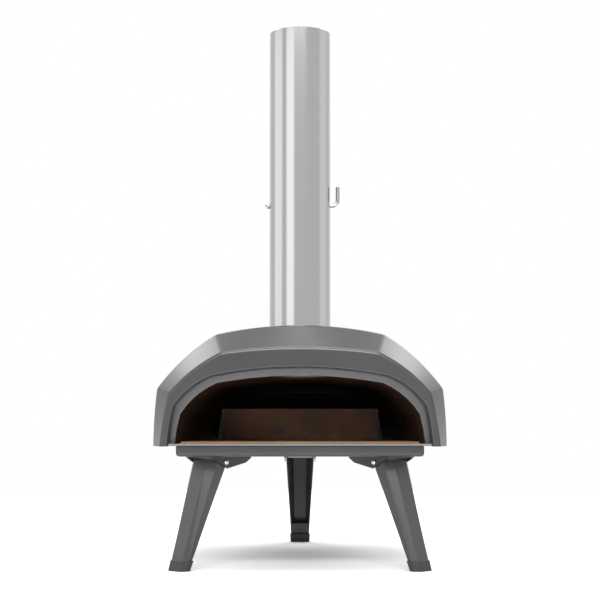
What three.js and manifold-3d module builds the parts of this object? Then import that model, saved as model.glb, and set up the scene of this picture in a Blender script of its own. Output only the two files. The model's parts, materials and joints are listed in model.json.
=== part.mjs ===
// A portable wood fired pizza oven on three folding legs, in millimetres.
// X runs across the oven, Y from the mouth to the rear, Z up from the ground. The face is at Y = 0.
import * as THREE from "three";
import { mergeVertices } from "three/addons/utils/BufferGeometryUtils.js";
import Module from "manifold-3d";

const wasm = await Module();
wasm.setup();

// ---- Driving dimensions ----
const GAP = 0.3; // clearance between pieces that touch
const SHEET = 1.5; // folded sheet steel
const BASE_Z = 169.6; // lower edge of the casing above the ground
const BODY_LENGTH = 520; // face to rear panel
const RIDGE_Y = 44; // depth of the hood's chamfer, and of the recess behind the face
const WAIST_Y = 365; // where the cooking chamber ends and the tail begins
const BODY_WIDTH = 409.6; // across the lower end of the ridge

// An arch outline: half width at the base, lean of the side, height of the side,
// run and rise of the shoulder, and crown of the top.
const RIDGE = { half: BODY_WIDTH / 2, lean: 4.8, side: 80.3, run: 81.7, rise: 76.1, crown: 12.8 };
const FACE = { half: RIDGE.half - 13.2, lean: 12.4, side: 72.7, run: 72.1, rise: 55.6, crown: 6.8 };
const RECESS = { half: FACE.half - 10.6, lean: 8, side: 54.5, run: 51.8, rise: 41.5, crown: 12.3 };
const MOUTH = { half: RECESS.half - 5.8, lean: 7.9, side: 44.7, run: 51.1, rise: 43.6, crown: 10.5 };
const WAIST = { half: RIDGE.half - 15, lean: 4, side: 72, run: 74, rise: 55, crown: 9 };
const TAIL = { half: RIDGE.half - 52, lean: 3, side: 66, run: 58, rise: 52, crown: 7 };
const LINER_WAIST = { half: MOUTH.half - 4, lean: 6, side: 43, run: 50, rise: 44, crown: 9 };
const LINER_TAIL = { half: MOUTH.half - 36, lean: 5, side: 42, run: 44, rise: 42, crown: 7 };
const HOOD_OVERLAP = 8; // the hood's rear band over the shell
const SLOPE_Z = 215; // fold of the rear panel
const SLOPE = Math.atan2(76, 65); // steepness of the rear panel's upper part
const STONE = { size: 330, thickness: 10, front: 25, proud: 2.6, fit: 0.8 };
const FLOOR_TOP = BASE_Z + 3.8; // top of the floor plate
const LIP = 3; // height of the floor plate's front hem
const PAN = { half: 170, front: 8, bottom: 155.7, radius: 4, tail: 132 };
const TUBE = 89.4; // the chimney's outside diameter
const TUBE_WALL = 1.5;
const FLUE = { y: 139, spigot: TUBE - 2 * TUBE_WALL - 1, foot: 338, top: 778 };
const DAMPER = { z: 522, rod: 6, edgeGap: 4.2, hookOut: TUBE / 2 + 10.9, hookUp: 28, bend: 9, fit: 0.5 };
const GUARD = { top: 226, half: 127 };
const FUEL = { half: 112, front: WAIST_Y + 5, rear: BODY_LENGTH - 20, top: 213, grate: 193 };
const TRAY = { half: 84, top: 188, front: WAIST_Y + 9 };
const HATCH = { half: 75, low: 14, high: 62, border: 10, grip: 100, reach: 30 };
const LEG = { lean: 18.3, pivotZ: 147.5, inset: 26, sheet: 2, rise: 3, end: 3, capHeight: 14 };
const LEG_TOP = { centre: 12, side: 11.3, sideDepth: 10.2, flange: 20 };
const LEG_FOOT = { centre: 10.2, side: 4.4, sideDepth: 6.5, flange: 5.7 };
const PIN = { rod: 5, head: 8, headHeight: 2.2 };
const LEGS = [
  { name: "front_left", x: -122.8, y: 65.2, turn: -40 },
  { name: "front_right", x: 122.8, y: 65.2, turn: 40 },
  { name: "rear", x: 0, y: BODY_LENGTH - 72, turn: 180 },
];

// ---- Materials ----
const finish = (color, roughness, metalness) =>
  new THREE.MeshStandardMaterial({ color, roughness, metalness });
const coat = () => finish(0x6e6f71, 0.5, 0.3);
const steel = () => finish(0xb9bbbd, 0.3, 1);
const hotSteel = () => finish(0x5a4a42, 0.5, 0.9);
const black = () => finish(0x17171a, 0.6, 0);

// ---- Solids from three.js geometry ----
const v2 = (x, y) => new THREE.Vector2(x, y);

function solid(geometry) {
  geometry.deleteAttribute("normal");
  geometry.deleteAttribute("uv");
  const merged = mergeVertices(geometry, 1e-4);
  const mesh = {
    numProp: 3,
    vertProperties: new Float32Array(merged.attributes.position.array),
    triVerts: new Uint32Array(merged.index.array),
  };
  const made = new wasm.Manifold(new wasm.Mesh(mesh));
  if (made.volume() > 0) return made;
  mesh.triVerts.reverse();
  return new wasm.Manifold(new wasm.Mesh(mesh));
}

const group = new THREE.Group();
function add(name, piece, material, parent = group) {
  const out = piece.getMesh();
  const geometry = new THREE.BufferGeometry();
  geometry.setAttribute("position", new THREE.BufferAttribute(new Float32Array(out.vertProperties), 3));
  geometry.setIndex(new THREE.BufferAttribute(new Uint32Array(out.triVerts), 1));
  const mesh = new THREE.Mesh(geometry, material);
  mesh.name = name;
  parent.add(mesh);
}

function box(x0, x1, y0, y1, z0, z1) {
  const geometry = new THREE.BoxGeometry(x1 - x0, y1 - y0, z1 - z0);
  return solid(geometry.translate((x0 + x1) / 2, (y0 + y1) / 2, (z0 + z1) / 2));
}

// A loft from outline a to outline b; place(point, end) gives a point of each end its position.
function loft(a, b, place) {
  const geometry = new THREE.ExtrudeGeometry(new THREE.Shape(a), { depth: 1, bevelEnabled: false });
  const position = geometry.attributes.position;
  for (let i = 0; i < position.count; i++) {
    const at = v2(position.getX(i), position.getY(i));
    const nearest = a.reduce((best, p, k) => (p.distanceTo(at) < a[best].distanceTo(at) ? k : best), 0);
    const end = position.getZ(i) > 0.5 ? 1 : 0;
    const placed = place((end ? b : a)[nearest], end);
    position.setXYZ(i, placed.x, placed.y, placed.z);
  }
  return solid(geometry);
}
const loftY = (a, y0, b, y1) => loft(a, b, (p, end) => new THREE.Vector3(p.x, end ? y1 : y0, p.y));
const loftZ = (a, z0, b, z1) => loft(a, b, (p, end) => new THREE.Vector3(p.x, p.y, end ? z1 : z0));
const plan = (points, z0, z1) => loftZ(points, z0, points, z1);
const profileX = (points, x0, x1) =>
  loft(points, points, (p, end) => new THREE.Vector3(end ? x1 : x0, p.x, p.y));

// A turned piece on the Z axis from [radius, height] pairs.
function turned(pairs, segments = 32) {
  return solid(new THREE.LatheGeometry(pairs.map(([r, z]) => v2(r, z)), segments).rotateX(Math.PI / 2));
}
const discZ = (r, z0, z1, segments) => turned([[0, z0], [r, z0], [r, z1], [0, z1]], segments);
const alongX = (piece) => piece.rotate([0, 90, 0]);
const alongY = (piece) => piece.rotate([-90, 0, 0]);

// ---- Arch outlines ----
function bulge(from, to, sag, steps) {
  const across = to.clone().sub(from);
  const out = v2(-across.y, across.x).normalize();
  const points = [];
  for (let i = 1; i <= steps; i++) {
    const t = i / steps;
    points.push(from.clone().addScaledVector(across, t).addScaledVector(out, 4 * sag * t * (1 - t)));
  }
  return points;
}

// The outline from lower left over the top to lower right, moved inwards by inset.
function arch({ half, lean, side, run, rise, crown }, inset = 0, base = BASE_Z) {
  const sideSag = 1.2;
  const shoulderSag = 5.2;
  const low = v2(-half + lean, BASE_Z + side);
  const high = v2(low.x + run, low.y + rise);
  const start = v2(-half, BASE_Z);
  const left = [start, ...bulge(start, low, sideSag, 2), ...bulge(low, high, shoulderSag, 5)];
  const top = bulge(high, v2(-high.x, high.y), crown, 10);
  const line = [...left, ...top.slice(0, -1), ...left.toReversed().map((p) => v2(-p.x, p.y))];
  const moved = line.map((p, i) => {
    const before = p.clone().sub(line[Math.max(i - 1, 0)]).normalize();
    const after = line[Math.min(i + 1, line.length - 1)].clone().sub(p).normalize();
    const normals = [before, after].filter((d) => d.length() > 0).map((d) => v2(d.y, -d.x));
    const mean = normals.reduce((sum, n) => sum.clone().add(n)).normalize();
    return p.clone().addScaledVector(mean, inset / mean.dot(normals[0]));
  });
  // The ends run on along their sides to the base.
  for (const [end, next] of [[moved[0], moved[1]], [moved.at(-1), moved.at(-2)]]) {
    const slant = (next.x - end.x) / (next.y - end.y);
    end.set(end.x + slant * (base - end.y), base);
  }
  return moved;
}

const BELOW = BASE_Z - 40; // cutters start here
const tunnel = (outline, inset, y0, y1) =>
  loftY(arch(outline, inset, BELOW), y0, arch(outline, inset, BELOW), y1);

// A tunnel through three outlines, moved inwards by inset, between front and the rear plane moved in by rear.
function body(outlines, inset, rear, front, base) {
  const [first, waist, tail] = outlines.map((outline) => arch(outline, inset, base));
  return loftY(first, RIDGE_Y, waist, WAIST_Y)
    .add(loftY(waist, WAIST_Y, tail, BODY_LENGTH))
    .intersect(rearRegion(rear, front));
}
const casing = (inset, rear, front, base = BASE_Z) => body([RIDGE, WAIST, TAIL], inset, rear, front, base);
const chamber = (inset, rear, front, base) =>
  body([MOUTH, LINER_WAIST, LINER_TAIL], inset, rear, front, base);
// Everything between front and the folded rear plane, moved in by inset.
function rearRegion(inset, front = -60) {
  const top = 420;
  const fold = SLOPE_Z - inset * Math.tan((Math.PI / 2 - SLOPE) / 2);
  const y = BODY_LENGTH - inset;
  const back = (top - fold) / Math.tan(SLOPE);
  const low = BELOW - 20;
  return profileX([v2(front, low), v2(y, low), v2(y, fold), v2(y - back, top), v2(front, top)], -300, 300);
}

// ---- Casing ----
const FRAME_Y = RIDGE_Y + SHEET + GAP; // the mouth frame's front
const FRAME_REAR = FRAME_Y + SHEET;

function frontHood() {
  const outer = loftY(arch(FACE), 0, arch(RIDGE), RIDGE_Y)
    .add(loftY(arch(RIDGE), RIDGE_Y, arch(RIDGE), FRAME_REAR + HOOD_OVERLAP));
  const innerFace = arch(FACE, SHEET, BASE_Z + SHEET);
  const innerRidge = arch(RIDGE, SHEET, BASE_Z + SHEET);
  const band = arch(RIDGE, SHEET, BELOW);
  const inner = loftY(innerFace, SHEET, innerRidge, RIDGE_Y)
    .add(loftY(band, RIDGE_Y + SHEET, band, FRAME_REAR + HOOD_OVERLAP + 1))
    .add(loftY(innerRidge, RIDGE_Y, innerRidge, RIDGE_Y + SHEET + 1));
  const recessTube = tunnel(RECESS, -SHEET, 0.5, RIDGE_Y + SHEET)
    .intersect(box(-300, 300, 0, RIDGE_Y + SHEET, BASE_Z, 420));
  return outer.subtract(inner).add(recessTube).subtract(tunnel(RECESS, 0, -1, 100));
}
function outerShell() {
  const inset = SHEET + GAP;
  const shell = casing(inset, 0, FRAME_REAR + GAP);
  const flueHole = discZ(FLUE.spigot / 2 + 1, 200, 420).translate([0, FLUE.y, 0]);
  return shell.subtract(casing(inset + SHEET, -5, FRAME_REAR - 1, BELOW)).subtract(flueHole);
}
// A point on the rear slope: distance up the slope from the fold, height off its surface.
function onSlope(up, off) {
  const along = v2(-Math.cos(SLOPE), Math.sin(SLOPE)).multiplyScalar(up);
  const normal = v2(Math.sin(SLOPE), Math.cos(SLOPE)).multiplyScalar(off);
  return v2(BODY_LENGTH, SLOPE_Z).add(along).add(normal);
}
const slopeSlab = (x, up0, up1, off0, off1) =>
  profileX([onSlope(up0, off0), onSlope(up1, off0), onSlope(up1, off1), onSlope(up0, off1)], -x, x);

const SHELL_INSIDE = 2 * SHEET + 2 * GAP; // from the ridge line to what fits inside the shell
function rearPanel() {
  const tail = casing(SHELL_INSIDE, 1, WAIST_Y - 60, FLOOR_TOP + GAP);
  const plate = tail.subtract(rearRegion(1 + SHEET));
  const hatchHole = slopeSlab(HATCH.half, HATCH.low, HATCH.high, -10, 10);
  const hole = TRAY.half + 1;
  const trayHole = box(-hole, hole, BODY_LENGTH - 9, BODY_LENGTH + 9, FLOOR_TOP, TRAY.top + 1);
  return plate.subtract(hatchHole).subtract(trayHole);
}
function insulationBlanket() {
  const front = FRAME_REAR + 2 * GAP;
  const outside = casing(SHELL_INSIDE + GAP, 1 + SHEET + GAP, front, FLOOR_TOP + GAP);
  const flueHole = discZ(FLUE.spigot / 2 + 1, 200, 420).translate([0, FLUE.y, 0]);
  return outside.subtract(chamber(-SHEET - 2 - 4 * GAP, -20, front - 1, BELOW)).subtract(flueHole);
}
function mouthFrame() {
  const outline = { ...RECESS, half: RECESS.half + 8, crown: RECESS.crown + 1 };
  const edge = arch(outline, -4, FLOOR_TOP + GAP);
  const plate = loftY(edge, FRAME_Y, edge, FRAME_REAR);
  return plate.subtract(tunnel(MOUTH, 0, 0, 100));
}
function innerLiner() {
  const front = FRAME_REAR + GAP;
  const outside = chamber(-SHEET - 2, 1 + SHEET + 2 * GAP, front, FLOOR_TOP + GAP);
  const inside = chamber(-2, -20, front - 1, BELOW);
  return outside.subtract(inside).subtract(discZ(FLUE.spigot / 2 + 1, 200, 420).translate([0, FLUE.y, 0]));
}

// ---- Floor ----
function floorPlate() {
  const edge = SHELL_INSIDE;
  const rim = casing(edge, 1 + SHEET, FRAME_REAR + HOOD_OVERLAP + 1, BELOW)
    .intersect(box(-300, 300, 0, BODY_LENGTH, FLOOR_TOP - SHEET, FLOOR_TOP));
  const clear = tunnel(RECESS, 2 * GAP, -1, BODY_LENGTH);
  const rear = FRAME_REAR + HOOD_OVERLAP + 2;
  const apron = box(-300, 300, 0, rear, FLOOR_TOP - SHEET, FLOOR_TOP).intersect(clear);
  const hem = box(-300, 300, 0, LIP, FLOOR_TOP - LIP, FLOOR_TOP).intersect(clear);
  const hole = STONE.size / 2 + STONE.fit;
  const centre = STONE.front + STONE.size / 2;
  return rim.add(apron).add(hem).subtract(box(-hole, hole, centre - hole, centre + hole, 100, 200));
}
const STONE_BOTTOM = FLOOR_TOP + STONE.proud - STONE.thickness;
function bakingStone() {
  const half = STONE.size / 2;
  const top = STONE_BOTTOM + STONE.thickness;
  return box(-half, half, STONE.front, STONE.front + STONE.size, STONE_BOTTOM, top);
}
function hearthTray() {
  const inner = STONE.size / 2 + STONE.fit;
  const outer = inner + 1.2;
  const centre = STONE.front + STONE.size / 2;
  const top = FLOOR_TOP - SHEET - GAP;
  return box(-outer, outer, centre - outer, centre + outer, STONE_BOTTOM - GAP - SHEET, top)
    .subtract(box(-inner, inner, centre - inner, centre + inner, STONE_BOTTOM - GAP, top + 5));
}
// The pan's plan, moved inwards by inset.
function panPlan(inset) {
  const half = PAN.half - inset;
  const tail = PAN.tail - inset;
  const rear = BODY_LENGTH - 14 - inset;
  const corner = [v2(half, PAN.front + inset), v2(half, WAIST_Y + 10), v2(tail, rear)];
  return [...corner, ...corner.toReversed().map((p) => v2(-p.x, p.y))];
}
function basePan() {
  const top = FLOOR_TOP - LIP - GAP;
  const roll = PAN.radius;
  const block = plan(panPlan(0), PAN.bottom + roll, top)
    .add(loftZ(panPlan(roll * 0.3), PAN.bottom + roll * 0.3, panPlan(0), PAN.bottom + roll))
    .add(loftZ(panPlan(roll), PAN.bottom, panPlan(roll * 0.3), PAN.bottom + roll * 0.3));
  return block.subtract(plan(panPlan(SHEET), PAN.bottom + roll, 200))
    .subtract(plan(panPlan(roll + SHEET), PAN.bottom + SHEET, PAN.bottom + roll + 1));
}
function baseInsulation() {
  const top = STONE_BOTTOM - 2 * GAP - SHEET;
  return plan(panPlan(PAN.radius + SHEET + 1), PAN.bottom + SHEET + GAP, top);
}

// ---- Fire ----
function flameGuard() {
  return box(-GUARD.half, GUARD.half, WAIST_Y - 2, WAIST_Y - 0.5, FLOOR_TOP + GAP, GUARD.top)
    .add(box(-GUARD.half, GUARD.half, WAIST_Y - 8, WAIST_Y - 2, FLOOR_TOP + GAP, FLOOR_TOP + GAP + SHEET));
}
function fuelBox() {
  const low = FLOOR_TOP + GAP;
  const ledge = FUEL.grate - GAP;
  const walls = box(-FUEL.half, FUEL.half, FUEL.front, FUEL.rear, low, FUEL.top)
    .subtract(box(-FUEL.half + SHEET, FUEL.half - SHEET, FUEL.front + SHEET, FUEL.rear - SHEET, 150, 300));
  const trayWay = box(-TRAY.half - 1, TRAY.half + 1, FUEL.rear - 20, FUEL.rear + 20, 150, TRAY.top + 1);
  const ledges = box(-FUEL.half + 1, FUEL.half - 1, FUEL.front + 1, FUEL.rear - 1, ledge - SHEET, ledge)
    .subtract(box(-FUEL.half + 12, FUEL.half - 12, FUEL.front + 12, FUEL.rear - 12, 150, 300));
  return walls.subtract(trayWay).add(ledges);
}
function fuelGrate() {
  const half = FUEL.half - SHEET - 1;
  const front = FUEL.front + SHEET + 1;
  const rear = FUEL.rear - SHEET - 1;
  let plate = box(-half, half, front, rear, FUEL.grate, FUEL.grate + 2);
  const columns = 12;
  const pitch = (2 * half - 24) / columns;
  for (let i = 0; i < columns; i++) {
    const x = -half + 12 + (i + 0.5) * pitch;
    for (const [y0, y1] of [[front + 14, (front + rear) / 2 - 5], [(front + rear) / 2 + 5, rear - 14]])
      plate = plate.subtract(box(x - pitch * 0.28, x + pitch * 0.28, y0, y1, 150, 300));
  }
  return plate;
}
const DRAWER_FACE = BODY_LENGTH + GAP;
function ashTray() {
  const low = FLOOR_TOP + GAP;
  const inner = TRAY.half - SHEET;
  return box(-TRAY.half, TRAY.half, TRAY.front, BODY_LENGTH, low, TRAY.top)
    .subtract(box(-inner, inner, TRAY.front + SHEET, BODY_LENGTH - SHEET, low + SHEET, 300));
}
function ashTrayFace() {
  return box(-TRAY.half - 10, TRAY.half + 10, DRAWER_FACE, DRAWER_FACE + SHEET, FLOOR_TOP + 1, TRAY.top + 9)
    .subtract(box(-45, -25, BODY_LENGTH, BODY_LENGTH + 9, TRAY.top - 6, TRAY.top - 2))
    .subtract(box(25, 45, BODY_LENGTH, BODY_LENGTH + 9, TRAY.top - 6, TRAY.top - 2));
}
function barHandle(length, reach, radius, y, z) {
  const half = length / 2;
  const path = new THREE.CurvePath();
  const turn = 6;
  const at = (x, dy) => new THREE.Vector3(x, y + dy, z);
  path.add(new THREE.LineCurve3(at(-half, 0), at(-half, reach - turn)));
  const corner = (a, b, c) => new THREE.QuadraticBezierCurve3(a, b, c);
  path.add(corner(at(-half, reach - turn), at(-half, reach), at(-half + turn, reach)));
  path.add(new THREE.LineCurve3(at(-half + turn, reach), at(half - turn, reach)));
  path.add(corner(at(half - turn, reach), at(half, reach), at(half, reach - turn)));
  path.add(new THREE.LineCurve3(at(half, reach - turn), at(half, 0)));
  return wire(path, radius, 40);
}
function wire(path, radius, steps, sides = 10) {
  const shape = new THREE.Shape();
  for (let i = 0; i < sides; i++) {
    const a = (i / sides) * 2 * Math.PI;
    if (i === 0) shape.moveTo(radius * Math.cos(a), radius * Math.sin(a));
    else shape.lineTo(radius * Math.cos(a), radius * Math.sin(a));
  }
  shape.closePath();
  return solid(new THREE.ExtrudeGeometry(shape, { steps, extrudePath: path, bevelEnabled: false }));
}

// ---- Fuel hatch on the rear slope ----
const LID = 2;
function hatchLid() {
  const edge = HATCH.border;
  const cover = slopeSlab(HATCH.half + edge, HATCH.low - edge, HATCH.high + edge, GAP, GAP + LID);
  const locator = slopeSlab(HATCH.half - 1.5, HATCH.low + 1.5, HATCH.high - 1.5, -8, GAP + 0.5)
    .subtract(slopeSlab(HATCH.half - 3.5, HATCH.low + 3.5, HATCH.high - 3.5, -9, GAP));
  return cover.add(locator);
}
const hatchMiddle = (HATCH.low + HATCH.high) / 2;
function hatchPost(side) {
  const foot = GAP + LID + GAP;
  const end = HATCH.reach - foot - 7.3;
  const post = turned([[0, 0], [8, 0], [8, 2], [4, 4], [4, end], [0, end]], 20);
  const at = onSlope(hatchMiddle, foot);
  return post.rotate([SLOPE_TILT, 0, 0]).translate([side * (HATCH.grip / 2 - 14), at.x, at.y]);
}
const SLOPE_TILT = -THREE.MathUtils.radToDeg(SLOPE);
function hatchGrip() {
  const half = HATCH.grip / 2;
  const bar = turned([[0, -half], [5, -half], [7, -half + 3], [7, half - 3], [5, half], [0, half]], 20);
  const at = onSlope(hatchMiddle, HATCH.reach);
  return alongX(bar).translate([0, at.x, at.y]);
}

// ---- Chimney and damper ----
function flueSpigot() {
  const r = FLUE.spigot / 2;
  const low = 272;
  const high = FLUE.foot + 36;
  return turned([[r - SHEET, low], [r, low], [r, high], [r - SHEET, high], [r - SHEET, low]], 48)
    .translate([0, FLUE.y, 0]);
}
function chimneyCollar() {
  const roof = casing(SHEET, 0, FRAME_REAR + GAP);
  const skin = casing(-0.5, 0, FRAME_REAR + GAP);
  const flange = discZ(62, 300, 345, 40).translate([0, FLUE.y, 0]).intersect(skin);
  const neck = discZ(TUBE / 2 + 2, 300, FLUE.foot - GAP, 40).translate([0, FLUE.y, 0]);
  return flange.add(neck).subtract(roof)
    .subtract(discZ(FLUE.spigot / 2 + GAP, 200, 420, 48).translate([0, FLUE.y, 0]));
}
function chimneyTube() {
  const r = TUBE / 2;
  const inner = r - TUBE_WALL;
  const { foot, top } = FLUE;
  const tube = turned([[inner, foot], [r, foot], [r, top], [inner, top], [inner, foot]], 64);
  const bore = alongX(discZ(DAMPER.rod / 2 + DAMPER.fit, -100, 100, 20)).translate([0, 0, DAMPER.z]);
  return tube.subtract(bore).translate([0, FLUE.y, 0]);
}
function damperRod() {
  const left = -TUBE / 2 - 3;
  const at = (x, dz) => new THREE.Vector3(x, FLUE.y, DAMPER.z + dz);
  const path = new THREE.CurvePath();
  const { hookOut, hookUp, bend } = DAMPER;
  path.add(new THREE.LineCurve3(at(left, 0), at(hookOut - bend, 0)));
  path.add(new THREE.QuadraticBezierCurve3(at(hookOut - bend, 0), at(hookOut, 0), at(hookOut, bend)));
  path.add(new THREE.LineCurve3(at(hookOut, bend), at(hookOut, hookUp)));
  return wire(path, DAMPER.rod / 2, 48, 12);
}
const PLATE_Y = FLUE.y + DAMPER.rod / 2 + GAP;
function damperPlate() {
  const radius = TUBE / 2 - TUBE_WALL - DAMPER.edgeGap;
  const plate = alongY(discZ(radius, 0, SHEET, 48)).translate([0, PLATE_Y, DAMPER.z]);
  const hole = (x) => alongY(discZ(2, -20, 20, 12)).translate([x, PLATE_Y, DAMPER.z]);
  return plate.subtract(hole(-20)).subtract(hole(20));
}
function damperScrew(x) {
  const shank = [[0, 0], [1.6, 0], [1.6, SHEET + GAP], [3.5, SHEET + GAP], [3, SHEET + 2], [0, SHEET + 2.3]];
  return alongY(turned(shank, 16)).translate([x, PLATE_Y, DAMPER.z]);
}
function damperNut() {
  const r = DAMPER.rod / 2;
  const start = TUBE / 2 + GAP;
  const bore = r + GAP;
  const profile = [[bore, 0], [4.4, 0], [4.4, 3], [2, 6.7], [0, 6.7], [0, 3 + GAP], [bore, 3 + GAP], [bore, 0]];
  return alongX(turned(profile, 20).rotate([180, 0, 0])).translate([-start, FLUE.y, DAMPER.z]);
}

// ---- Folding legs: local +X is across the leg, local -Y outwards, origin at the pivot ----
const legShift = (z) => Math.tan(THREE.MathUtils.degToRad(LEG.lean)) * z;
function legLine(size, z, grow = 0) {
  const { centre, side, sideDepth, flange } = size;
  const wide = centre + side + grow;
  const front = -LEG.inset + legShift(z) - grow;
  const rear = front + sideDepth + flange + (grow > 0 ? 2 * grow : 0);
  const knee = front + sideDepth + grow * 0.4;
  const edge = centre + grow * 0.4;
  const left = [v2(-wide, rear), v2(-wide, knee), v2(-edge, front)];
  return [...left, v2(edge, front), v2(wide, knee), v2(wide, rear)];
}
// The section's size at height z above the pivot.
function legSize(z) {
  const t = -z / LEG.pivotZ;
  const mix = (key) => THREE.MathUtils.lerp(LEG_TOP[key], LEG_FOOT[key], t);
  return { centre: mix("centre"), side: mix("side"), sideDepth: mix("sideDepth"), flange: mix("flange") };
}
function legBlock(z0, z1, grow) {
  return loftZ(legLine(legSize(z0), z0, grow), z0, legLine(legSize(z1), z1, grow), z1);
}
function legSheet() {
  const low = LEG.end - LEG.pivotZ + GAP;
  const closed = low + 29;
  const channel = (z) => {
    const inner = legLine(legSize(z), z, -LEG.sheet);
    for (const end of [inner[0], inner[5]]) end.y += LEG.sheet + 3; // runs out through the open side
    return inner;
  };
  const block = legBlock(low, LEG.rise, 0);
  const hollow = loftZ(channel(low - 1), low - 1, channel(LEG.rise + 1), LEG.rise + 1);
  const band = (z, wide, proud) => {
    const rear = legLine(legSize(z), z)[0].y - 1 + proud;
    const front = rear - LEG.sheet - 2 * proud;
    return [v2(-wide, front), v2(wide, front), v2(wide, rear), v2(-wide, rear)];
  };
  const flap = (z) => band(z, legSize(z).centre + legSize(z).side - 0.5, 0);
  const flaps = loftZ(flap(low), low, flap(closed), closed);
  const seam = loftZ(band(low - 1, 0.4, 1), low - 1, band(closed + 1, 0.4, 1), closed + 1);
  const bore = alongX(discZ(PIN.rod / 2 + GAP, -60, 60, 20));
  return block.subtract(hollow).add(flaps).subtract(seam).subtract(bore);
}
function footCap() {
  const floor = -LEG.pivotZ;
  const top = floor + LEG.capHeight;
  return legBlock(floor, top, 1.6).subtract(legBlock(floor + LEG.end, top + 1, GAP));
}
const BRACKET_IN = LEG_TOP.centre + LEG_TOP.side + 0.6;
function legBracket() {
  const top = PAN.bottom - GAP - LEG.pivotZ;
  const outline = [[-30, top], [-20, 2], [2.8, -9.1], [41, -1.5], [52, top - 3], [52, top]];
  const plate = profileX(outline.map(([y, z]) => v2(y, z)), BRACKET_IN, BRACKET_IN + LEG.sheet);
  const web = box(-BRACKET_IN - 1, BRACKET_IN + 1, -28, 52, top - SHEET, top);
  return plate.add(plate.mirror([1, 0, 0])).add(web)
    .subtract(alongX(discZ(PIN.rod / 2 + GAP, -60, 60, 20)))
    .subtract(discZ(2.5, -20, 20, 16).translate([0, 40, 0]));
}
function pivotPin() {
  const end = BRACKET_IN + LEG.sheet + GAP;
  const r = PIN.rod / 2;
  const head = PIN.head / 2;
  const tip = end + PIN.headHeight;
  const half = [[0, tip], [head * 0.7, tip - 0.5], [head, end + 0.6], [head, end], [r, end]];
  return alongX(turned([...half.map(([a, z]) => [a, -z]), ...half.toReversed()], 20));
}
function bracketScrew() {
  const top = PAN.bottom - LEG.pivotZ - GAP;
  const profile = [[0, top - 4], [3, top - 3.6], [4, top - SHEET - GAP - 0.4], [4, top - SHEET - GAP]];
  const lug = [[2, top - SHEET - GAP], [2, top - 0.2], [0, top - 0.2]];
  return turned([...profile, ...lug], 16).translate([0, 40, 0]);
}

// ---- Assembly ----
add("front_hood", frontHood(), coat());
add("outer_shell", outerShell(), coat());
add("rear_panel", rearPanel(), coat());
add("mouth_frame", mouthFrame(), steel());
add("inner_liner", innerLiner(), hotSteel());
add("insulation_blanket", insulationBlanket(), finish(0xe8e4dc, 0.95, 0));
add("floor_plate", floorPlate(), steel());
add("hearth_tray", hearthTray(), hotSteel());
add("baking_stone", bakingStone(), finish(0xc7a987, 0.9, 0));
add("base_insulation", baseInsulation(), finish(0xe8e4dc, 0.95, 0));
add("base_pan", basePan(), coat());
add("flame_guard", flameGuard(), hotSteel());
add("fuel_box", fuelBox(), hotSteel());
add("fuel_grate", fuelGrate(), hotSteel());
add("ash_tray", ashTray(), hotSteel());
add("ash_tray_face", ashTrayFace(), coat());
add("ash_tray_handle", barHandle(70, 20, 2.5, DRAWER_FACE + SHEET + GAP, TRAY.top - 4), steel());
add("hatch_lid", hatchLid(), coat());
add("hatch_post_left", hatchPost(-1), steel());
add("hatch_post_right", hatchPost(1), steel());
add("hatch_grip", hatchGrip(), black());
add("flue_spigot", flueSpigot(), steel());
add("chimney_collar", chimneyCollar(), steel());
add("chimney_tube", chimneyTube(), steel());
add("damper_rod", damperRod(), steel());
add("damper_plate", damperPlate(), steel());
add("damper_screw_left", damperScrew(-20), steel());
add("damper_screw_right", damperScrew(20), steel());
add("damper_nut", damperNut(), steel());
for (const { name, x, y, turn } of LEGS) {
  const mount = new THREE.Group();
  mount.position.set(x, y, LEG.pivotZ);
  mount.rotation.z = THREE.MathUtils.degToRad(turn);
  group.add(mount);
  add("leg_" + name, legSheet(), coat(), mount);
  add("foot_" + name, footCap(), black(), mount);
  add("bracket_" + name, legBracket(), coat(), mount);
  add("pivot_pin_" + name, pivotPin(), steel(), mount);
  add("bracket_screw_" + name, bracketScrew(), steel(), mount);
}

// The origin is the middle of the bounding box's bottom.
group.updateMatrixWorld(true);
const extent = new THREE.Box3().setFromObject(group, true);
const middle = extent.getCenter(new THREE.Vector3());
group.position.set(-middle.x, -middle.y, -extent.min.z);

export default group;
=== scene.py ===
"""The looks of a portable wood fired pizza oven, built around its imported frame. Metres throughout."""
import bmesh
import bpy
import json
import math
from mathutils import Matrix, Vector

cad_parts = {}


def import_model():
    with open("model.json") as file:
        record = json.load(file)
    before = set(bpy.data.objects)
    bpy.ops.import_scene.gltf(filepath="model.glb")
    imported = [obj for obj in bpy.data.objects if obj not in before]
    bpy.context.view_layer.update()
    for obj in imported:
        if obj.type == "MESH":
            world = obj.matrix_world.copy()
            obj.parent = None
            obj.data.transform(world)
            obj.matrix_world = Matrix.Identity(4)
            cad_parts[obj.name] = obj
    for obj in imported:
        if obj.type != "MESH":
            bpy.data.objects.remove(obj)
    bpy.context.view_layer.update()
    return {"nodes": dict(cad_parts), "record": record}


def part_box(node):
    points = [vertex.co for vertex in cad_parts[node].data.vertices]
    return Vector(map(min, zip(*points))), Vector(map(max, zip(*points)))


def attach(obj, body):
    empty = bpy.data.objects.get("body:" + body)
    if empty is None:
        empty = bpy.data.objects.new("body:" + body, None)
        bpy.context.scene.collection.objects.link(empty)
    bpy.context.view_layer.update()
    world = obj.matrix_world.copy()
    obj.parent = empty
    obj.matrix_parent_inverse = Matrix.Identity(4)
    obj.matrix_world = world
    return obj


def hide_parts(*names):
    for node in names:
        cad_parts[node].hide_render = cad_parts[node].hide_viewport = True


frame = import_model()
NODES = frame["nodes"]
BODY_OF = {n: b for b, members in frame["record"]["behaviour"]["bodies"].items() for n in members}
SLOT_OF = {s["node"]: s["material_slot"] for s in frame["record"]["subparts"]}
LEG_NAMES = ("front_left", "front_right", "rear")

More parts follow.
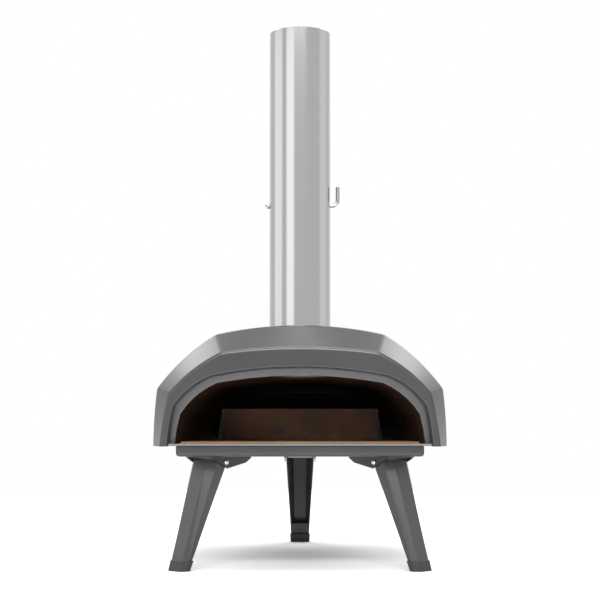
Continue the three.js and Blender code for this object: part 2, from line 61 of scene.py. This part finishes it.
FACE_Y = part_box("front_hood")[0].y  # the plane of the oven's face
RIDGE_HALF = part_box("front_hood")[1].x
BASE_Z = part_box("front_hood")[0].z


# ---- Camera ----
def make_camera():
    distance = 1.929  # in front of the face
    height = 0.195
    pitch = 3.24  # degrees upwards
    data = bpy.data.cameras.new("camera")
    data.sensor_width = 36
    data.lens = 84.72
    data.shift_y = 0.08
    camera = bpy.data.objects.new("camera", data)
    bpy.context.scene.collection.objects.link(camera)
    camera.location = (0, FACE_Y - distance, height)
    camera.rotation_euler = (math.radians(90 + pitch), 0, 0)
    bpy.context.scene.camera = camera


# ---- Material tools ----
class Nodes:
    """A material's node tree with short calls for the nodes that are used here."""

    def __init__(self, name):
        self.material = bpy.data.materials.new(name)
        self.material.use_nodes = True
        self.tree = self.material.node_tree
        self.shader = self.tree.nodes["Principled BSDF"]

    def node(self, kind, inputs=(), **settings):
        made = self.tree.nodes.new("ShaderNode" + kind)
        for key, value in settings.items():
            setattr(made, key, value)
        for key, value in dict(inputs).items():
            if isinstance(value, bpy.types.NodeSocket):
                self.tree.links.new(value, made.inputs[key])
            else:
                made.inputs[key].default_value = value
        return made

    def place(self, scale):
        where = self.node("TexCoord").outputs["Object"]
        return self.node("Mapping", {"Vector": where, "Scale": scale}).outputs[0]

    def noise(self, scale, size, detail=4.0, rough=0.5):
        inputs = {"Vector": self.place(scale), "Scale": size, "Detail": detail, "Roughness": rough}
        return self.node("TexNoise", inputs).outputs["Fac"]

    def ramp(self, fac, stops):
        made = self.node("ValToRGB", {"Fac": fac})
        elements = made.color_ramp.elements
        while len(elements) < len(stops):
            elements.new(0.5)
        for element, (at, colour) in zip(elements, stops):
            element.position = at
            element.color = (*colour, 1) if isinstance(colour, tuple) else (colour, colour, colour, 1)
        return made.outputs["Color"]

    def remap(self, value, low, high):
        return self.node("MapRange", {"Value": value, "To Min": low, "To Max": high}).outputs[0]

    def bump(self, height, strength, distance, normal=None):
        inputs = {"Height": height, "Strength": strength, "Distance": distance}
        if normal is not None:
            inputs["Normal"] = normal
        return self.node("Bump", inputs).outputs[0]

    def finish(self, **sockets):
        for key, value in sockets.items():
            socket = self.shader.inputs[key.replace("_", " ")]
            if isinstance(value, bpy.types.NodeSocket):
                self.tree.links.new(value, socket)
            else:
                socket.default_value = value
        return self.material


def powder_coat():
    m = Nodes("powder_coat")
    grain = m.noise((1, 1, 1), 1500, 3)
    orange_peel = m.noise((1, 1, 1), 320, 2)
    cloud = m.noise((1, 1, 1), 9, 3)
    colour = m.ramp(cloud, [(0.3, (0.066, 0.067, 0.069)), (0.7, (0.078, 0.079, 0.081))])
    fine = m.bump(grain, 0.10, 0.0004)
    normal = m.bump(orange_peel, 0.10, 0.0006, fine)
    return m.finish(Base_Color=colour, Roughness=m.remap(grain, 0.27, 0.38), Normal=normal, Metallic=0.75)


def brushed(name, along, colour, low, high, size=60.0):
    """Brushed stainless steel: the grain is stretched along the axis whose scale is small."""
    m = Nodes(name)
    grain = m.noise(along, size, 6, 0.7)
    broad = m.noise((1, 1, 1), 14, 2)
    tone = m.node("Mix", {"Factor": grain, "A": (*[c * 0.94 for c in colour], 1), "B": (*colour, 1)},
                  data_type="RGBA")
    rough = m.node("Math", {0: m.remap(grain, low, high), 1: m.remap(broad, -0.02, 0.03)}, operation="ADD")
    return m.finish(Base_Color=tone.outputs["Result"], Roughness=rough.outputs[0], Metallic=1.0,
                    Normal=m.bump(grain, 0.06, 0.0003))


def heat_steel():
    m = Nodes("heat_steel")
    stain = m.noise((1, 1, 1), 11, 5, 0.6)
    grain = m.noise((4, 4, 160), 12, 5, 0.7)
    colour = m.ramp(stain, [(0.30, (0.085, 0.062, 0.052)), (0.45, (0.140, 0.080, 0.052)),
                            (0.58, (0.190, 0.105, 0.060)), (0.72, (0.095, 0.078, 0.085))])
    return m.finish(Base_Color=colour, Roughness=m.remap(grain, 0.38, 0.62), Metallic=0.75,
                    Normal=m.bump(grain, 0.12, 0.0005))


def cordierite():
    m = Nodes("stone")
    grit = m.noise((1, 1, 1), 700, 6, 0.7)
    patch = m.noise((1, 1, 1), 14, 4, 0.6)
    spots = m.node("TexVoronoi", {"Vector": m.place((1, 1, 1)), "Scale": 260.0}).outputs["Distance"]
    base = m.ramp(patch, [(0.3, (0.23, 0.125, 0.06)), (0.7, (0.32, 0.19, 0.10))])
    speck = m.ramp(spots, [(0.06, 0.45), (0.14, 1.0)])
    mix = {"Factor": 1.0, "A": base, "B": speck}
    colour = m.node("Mix", mix, data_type="RGBA", blend_type="MULTIPLY")
    normal = m.bump(grit, 0.35, 0.0008)
    return m.finish(Base_Color=colour.outputs["Result"], Roughness=0.88, Normal=normal)


def fibre():
    m = Nodes("insulation")
    strand = m.noise((40, 400, 400), 3, 8, 0.8)
    colour = m.ramp(strand, [(0.3, (0.62, 0.60, 0.55)), (0.7, (0.84, 0.82, 0.77))])
    return m.finish(Base_Color=colour, Roughness=0.95, Normal=m.bump(strand, 0.6, 0.002))


def dark(name, tone, rough, size):
    m = Nodes(name)
    grain = m.noise((1, 1, 1), size, 4, 0.6)
    colour = m.ramp(grain, [(0.35, tone * 0.8), (0.7, tone * 1.25)])
    return m.finish(Base_Color=colour, Roughness=m.remap(grain, rough - 0.07, rough + 0.07),
                    Normal=m.bump(grain, 0.2, 0.0006))


MATERIALS = {
    "powder_coat": powder_coat(),
    "brushed_steel": brushed("brushed_steel", (3, 90, 90), (0.66, 0.66, 0.67), 0.26, 0.36),
    # Brushed steel made far darker for the lip and the mouth frame: painted shade for the recess they sit
    # in.
    "shade_darkened_lip_steel": brushed("shade_darkened_lip_steel", (3, 90, 90), (0.20, 0.20, 0.205), 0.30, 0.42),
    # Brushed steel darkened below bare stainless: painted shade standing in for dimmer surroundings in its
    # reflections.
    "shade_darkened_tube_steel": brushed("shade_darkened_tube_steel", (1, 1, 45), (0.42, 0.42, 0.425), 0.12, 0.19),
    "heat_steel": heat_steel(),
    "insulation": fibre(),
    "stone": cordierite(),
    "grip": dark("grip", 0.020, 0.50, 500),
    "foot_rubber": dark("foot_rubber", 0.017, 0.60, 900),
}


# ---- Mesh tools ----
def shade(mesh, angle):
    """Smooth shading everywhere but across edges sharper than angle, in degrees."""
    mesh.polygons.foreach_set("use_smooth", [True] * len(mesh.polygons))
    mesh.set_sharp_from_angle(angle=math.radians(angle))


def bevel(piece, width, segments=3, angle=24):
    modifier = piece.modifiers.new("edge", "BEVEL")
    modifier.width = width
    modifier.segments = segments
    modifier.limit_method = "ANGLE"
    modifier.angle_limit = math.radians(angle)
    modifier.miter_outer = "MITER_ARC"
    modifier.harden_normals = True


def new_piece(name, mesh, body, slot, material=None):
    piece = bpy.data.objects.new(name, mesh)
    bpy.context.scene.collection.objects.link(piece)
    mesh.materials.clear()
    mesh.materials.append(MATERIALS[material or slot])
    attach(piece, body)
    return piece


def refine(node, width=0.0005, segments=3, angle=24, material=None):
    """A clean copy of a CAD node: whole flat faces, rounded edges and smooth curves."""
    mesh = NODES[node].data.copy()
    bm = bmesh.new()
    bm.from_mesh(mesh)
    bmesh.ops.remove_doubles(bm, verts=bm.verts, dist=2e-6)
    bmesh.ops.dissolve_limit(bm, angle_limit=math.radians(0.6), verts=bm.verts, edges=bm.edges)
    bm.to_mesh(mesh)
    bm.free()
    piece = new_piece(node + "_finished", mesh, BODY_OF[node], SLOT_OF[node], material)
    shade(mesh, angle)
    bevel(piece, width, segments, angle)
    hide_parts(node)
    return piece


def grid_mesh(name, rows, closed=False):
    """A mesh of quads through rows of points, each row as long as the first."""
    mesh = bpy.data.meshes.new(name)
    bm = bmesh.new()
    lines = [[bm.verts.new(p) for p in row] for row in rows]
    count = len(lines[0])
    for a, b in zip(lines, lines[1:]):
        for i in range(count if closed else count - 1):
            j = (i + 1) % count
            bm.faces.new((a[i], a[j], b[j], b[i]))
    bmesh.ops.recalc_face_normals(bm, faces=bm.faces)
    bm.to_mesh(mesh)
    bm.free()
    return mesh


def turned(name, profile, count=48, loop=False):
    """A piece turned on the Z axis from (radius, height) pairs; loop closes the profile on itself."""
    bm = bmesh.new()
    profile = [(max(r, 0.0), z) for r, z in profile]
    rings = []
    for r, z in profile:
        steps = range(count) if r > 1e-7 else range(1)
        angles = [2 * math.pi * i / count for i in steps]
        rings.append([bm.verts.new((r * math.cos(a), r * math.sin(a), z)) for a in angles])
    pairs = list(zip(rings, rings[1:])) + ([(rings[-1], rings[0])] if loop else [])
    for a, b in pairs:
        for i in range(count):
            j = (i + 1) % count
            corners = [a[i % len(a)], a[j % len(a)], b[j % len(b)], b[i % len(b)]]
            unique = list(dict.fromkeys(corners))
            if len(unique) > 2:
                bm.faces.new(unique)
    bmesh.ops.recalc_face_normals(bm, faces=bm.faces)
    mesh = bpy.data.meshes.new(name)
    bm.to_mesh(mesh)
    bm.free()
    return mesh


# ---- The pressed hood, with rounded folds ----
SIDE_SAG = 0.0012
SHOULDER_SAG = 0.0052


def arch(half, lean, side, run, rise, crown):
    """The frame's arch outline, from its lower left corner over the top to its lower right."""
    low = Vector((-half + lean, BASE_Z + side))
    high = Vector((low.x + run, low.y + rise))
    start = Vector((-half, BASE_Z))

    def bulge(a, b, sag, steps):
        across = b - a
        out = Vector((-across.y, across.x)).normalized()
        for i in range(1, steps + 1):
            t = i / steps
            yield a + across * t + out * (4 * sag * t * (1 - t))

    left = [start, *bulge(start, low, SIDE_SAG, 8), *bulge(low, high, SHOULDER_SAG, 14)]
    top = list(bulge(high, Vector((-high.x, high.y)), crown, 28))[:-1]
    return left + top + [Vector((-p.x, p.y)) for p in reversed(left)]


SHEET = 0.0015
RIDGE = dict(half=RIDGE_HALF, lean=0.0048, side=0.0803, run=0.0817, rise=0.0761, crown=0.0128)
FACE = dict(half=RIDGE_HALF - 0.0132, lean=0.0124, side=0.0727, run=0.0721, rise=0.0556, crown=0.0068)
RECESS = dict(half=RIDGE_HALF - 0.0238, lean=0.008, side=0.0545, run=0.0518, rise=0.0415, crown=0.0123)
RIDGE_Y = 0.044
BAND_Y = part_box("front_hood")[1].y - FACE_Y
RECESS_REAR = 0.0455
FOLD_RADIUS = 0.0030


def hood():
    """Made from its own outlines, which repeat the frame's sizes and do not follow a changed width."""
    def row(outline, y):
        return [(p.x, FACE_Y + y, p.y) for p in outline]

    ridge, face, recess = arch(**RIDGE), arch(**FACE), arch(**RECESS)
    rows = [row(ridge, BAND_Y), row(ridge, RIDGE_Y), row(face, 0), row(recess, 0), row(recess, RECESS_REAR)]
    mesh = grid_mesh("front_hood_finished", rows)
    piece = new_piece("front_hood_finished", mesh, "oven_body", "powder_coat")
    shade(mesh, 180)
    bevel(piece, FOLD_RADIUS, 5, 12)
    piece.modifiers["edge"].harden_normals = False
    thick = piece.modifiers.new("sheet", "SOLIDIFY")
    thick.thickness = SHEET
    thick.offset = -1
    bevel(piece, 0.0004, 2, 60)
    piece.modifiers[-1].harden_normals = False
    normals = piece.modifiers.new("normals", "WEIGHTED_NORMAL")
    normals.keep_sharp = True
    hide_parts("front_hood")


# ---- Chimney tube ----
def chimney():
    """A plain tube. Its wall is thinner than the frame's, and it has no holes for the damper rod."""
    low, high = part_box("chimney_tube")
    centre = (low + high) / 2
    outer = (high.x - low.x) / 2
    wall = 0.0012
    lip = 0.0003
    inner = outer - wall
    z0, z1 = low.z, high.z
    profile = [(inner, z0 + lip), (inner + lip, z0), (outer - lip, z0), (outer, z0 + lip),
               (outer, z1 - lip), (outer - lip, z1), (inner + lip, z1), (inner, z1 - lip)]
    mesh = turned("chimney_tube_finished", profile, 144, loop=True)
    mesh.transform(Matrix.Translation((centre.x, centre.y, 0)))
    # The tube takes the darkened steel: painted shade in its reflections.
    piece = new_piece("chimney_tube_finished", mesh, "chimney", "brushed_steel", "shade_darkened_tube_steel")
    shade(mesh, 30)
    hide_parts("chimney_tube")


# ---- Studio ----
FLOOR_RADIUS = 2.3
FLOOR_DROP = 0.0002  # keeps the floor clear of the feet


def area(name, at, size, power, aim):
    data = bpy.data.lights.new(name, "AREA")
    data.shape = "RECTANGLE"
    data.size, data.size_y = size
    data.energy = power
    light = bpy.data.objects.new(name, data)
    bpy.context.scene.collection.objects.link(light)
    light.location = at
    light.visible_camera = False
    light.rotation_euler = (Vector(aim) - Vector(at)).to_track_quat("-Z", "Y").to_euler()


def world():
    """An even white surround, the same in every direction."""
    made = bpy.data.worlds.new("studio")
    made.use_nodes = True
    bpy.context.scene.world = made
    made.node_tree.nodes["Background"].inputs["Color"].default_value = (1, 1, 1, 1)


def studio():
    world()
    for side in (-1, 1):
        area("soft_box", (side * 1.35, 1.45, 2.15), (1.9, 1.1), 30, (0, 0, 0.25))
    area("front_box", (0, -2.3, 2.0), (1.8, 0.7), 46, (0, 0, 0.3))
    area("top_box", (0, -0.4, 3.0), (1.5, 1.0), 40, (0, 0.1, 0.2))
    area("front_left_box", (-1.5, -2.1, 0.95), (1.3, 1.2), 5.4, (0, 0, 0.5))
    area("left_box", (-2.4, -0.1, 0.95), (1.7, 1.1), 4.7, (0, 0, 0.5))
    area("right_box", (2.4, 0.2, 0.95), (1.6, 1.1), 1.6, (0, 0, 0.5))
    mesh = turned("floor", [(0, 0), (1.0, 0), (FLOOR_RADIUS, 0)], 96)
    mesh.transform(Matrix.Translation((0, 0, -FLOOR_DROP)))
    floor = bpy.data.objects.new("floor", mesh)
    bpy.context.scene.collection.objects.link(floor)
    m = Nodes("floor")
    tone = m.ramp(m.noise((1, 1, 1), 2.0, 3), [(0.3, 0.88), (0.7, 0.90)])
    floor.data.materials.append(m.finish(Base_Color=tone, Roughness=0.8))
    view = bpy.context.scene.view_settings
    view.view_transform = "Standard"
    view.look = "None"


# ---- Build ----
make_camera()
studio()
hood()
chimney()

FINE = 0.0004
for name in ("outer_shell", "inner_liner", "insulation_blanket", "hearth_tray", "base_insulation",
             "flame_guard", "fuel_box", "fuel_grate", "ash_tray", "chimney_collar", "flue_spigot",
             "damper_plate", "damper_screw_left", "damper_screw_right", "hatch_post_left",
             "hatch_post_right", "ash_tray_handle"):
    refine(name, FINE, 2, 30)
# The damper rod and nut take the darkened steel too: painted shade, so they don't reflect the white
# surround as pale.
refine("damper_rod", FINE, 2, 30, material="shade_darkened_tube_steel")
refine("damper_nut", FINE, 2, 30, material="shade_darkened_tube_steel")
refine("rear_panel", 0.0005)
# The lip and the mouth frame take the darkened steel: painted shade, not a different metal.
refine("floor_plate", 0.0006, material="shade_darkened_lip_steel")
refine("mouth_frame", FINE, 2, 30, material="shade_darkened_lip_steel")
refine("base_pan", 0.0006, 3, 20)
refine("ash_tray_face", 0.0005)
refine("hatch_lid", 0.0006)
refine("hatch_grip", 0.0008)
refine("baking_stone", 0.0015, 4)
for leg in LEG_NAMES:
    refine("leg_" + leg, 0.0006, 3)
    refine("foot_" + leg, 0.0010, 3)
    refine("bracket_" + leg, 0.0004, 2)
    refine("pivot_pin_" + leg, FINE, 2, 35)
    refine("bracket_screw_" + leg, FINE, 2, 35)
